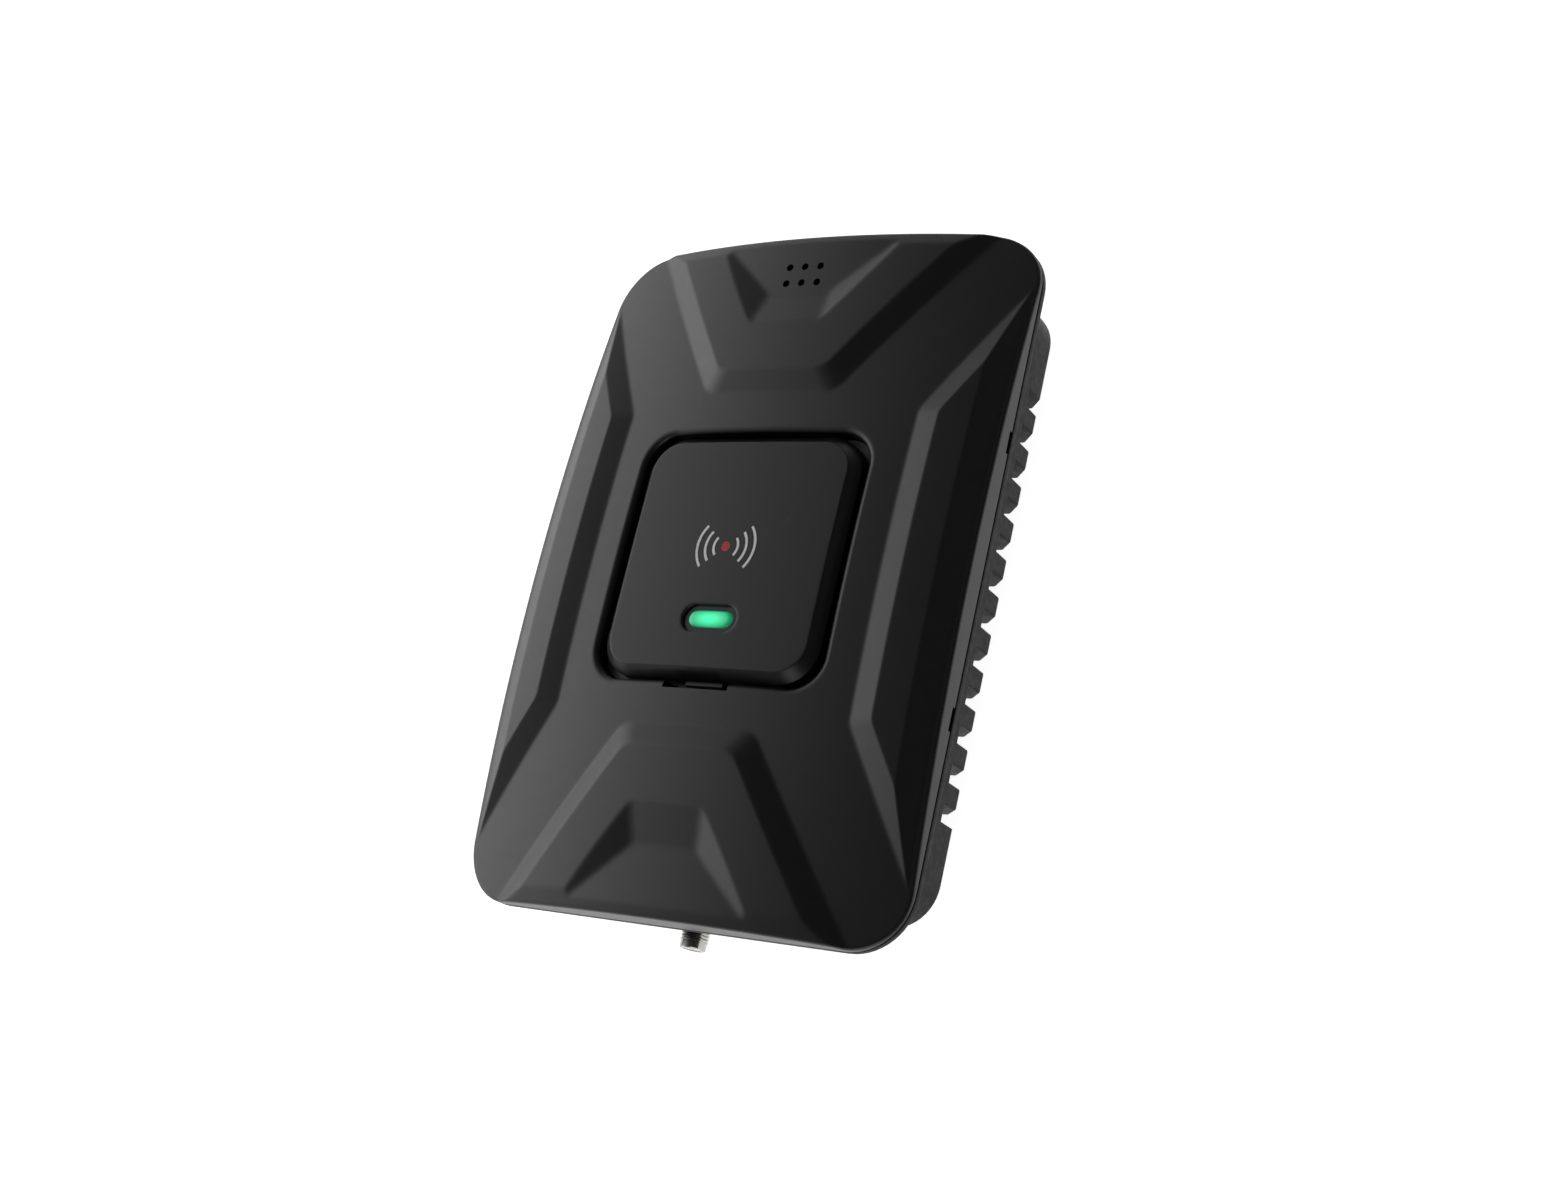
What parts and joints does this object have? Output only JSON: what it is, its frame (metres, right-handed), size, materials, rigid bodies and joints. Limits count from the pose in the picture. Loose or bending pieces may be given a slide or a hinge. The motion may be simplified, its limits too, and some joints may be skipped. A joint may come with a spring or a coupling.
{
  "type": "cellular signal booster",
  "caption": "Flat black cellular signal booster: domed cover with raised pads, centre plate with a lit status window, threaded antenna ports and a finned heat sink.",
  "frame": {"origin": "middle of the heat sink's back face, on the surface that the unit lies on", "axes": "+Z out of the front cover, +Y along the unit towards the inside-antenna port, +X to the right of the front face"},
  "size_m": [0.1164, 0.169, 0.0343],
  "materials": {
    "cover_plastic": "fine satin moulded texture, near black",
    "plate_plastic": "smooth satin, near black",
    "status_lens": "glowing green translucent",
    "clear_plastic": "clear moulded acrylic",
    "seal_rubber": "soft black elastomer",
    "black_aluminium": "black powder coat on die-cast metal",
    "circuit_board": "green solder mask",
    "led_package": "white package",
    "shield_metal": "tin-plated sheet",
    "chip_epoxy": "moulded epoxy",
    "ceramic_filter": "glazed ceramic",
    "capacitor_can": "drawn can",
    "thermal_pad": "soft filled silicone",
    "jack_plastic": "moulded, matte",
    "contact_metal": "gold plated",
    "screw_steel": "zinc plated",
    "nickel_metal": "bright nickel plate",
    "port_insulator": "white fluoropolymer"
  },
  "bodies": {
    "unit": {"front_cover": "cover_plastic", "light_guide": "clear_plastic", "seam_gasket": "seal_rubber", "heat_sink": "black_aluminium", "main_board": "circuit_board", "status_led": "led_package", "uplink_shield_can": "shield_metal", "downlink_shield_can": "shield_metal", "amplifier_chips": "chip_epoxy", "duplex_filters": "ceramic_filter", "control_chip": "chip_epoxy", "power_inductors": "chip_epoxy", "filter_capacitors": "capacitor_can", "thermal_pads": "thermal_pad", "power_jack_housing": "jack_plastic", "power_jack_pin": "contact_metal", "power_jack_spring": "contact_metal", "cover_screws": "screw_steel", "board_screws": "screw_steel", "inside_port_body": "nickel_metal", "inside_port_insulator": "port_insulator", "inside_port_contact": "contact_metal", "inside_port_washer": "nickel_metal", "inside_port_nut": "nickel_metal", "outside_port_body": "nickel_metal", "outside_port_insulator": "port_insulator", "outside_port_contact": "contact_metal", "outside_port_washer": "nickel_metal", "outside_port_nut": "nickel_metal"},
    "plate": {"centre_plate": "plate_plastic", "status_lens": "status_lens"}
  },
  "joints": [
    {"name": "plate_lift", "type": "slide", "parent": "unit", "child": "plate", "axis": [0, 0, 1], "range_m": [0, 0.012]}
  ]
}
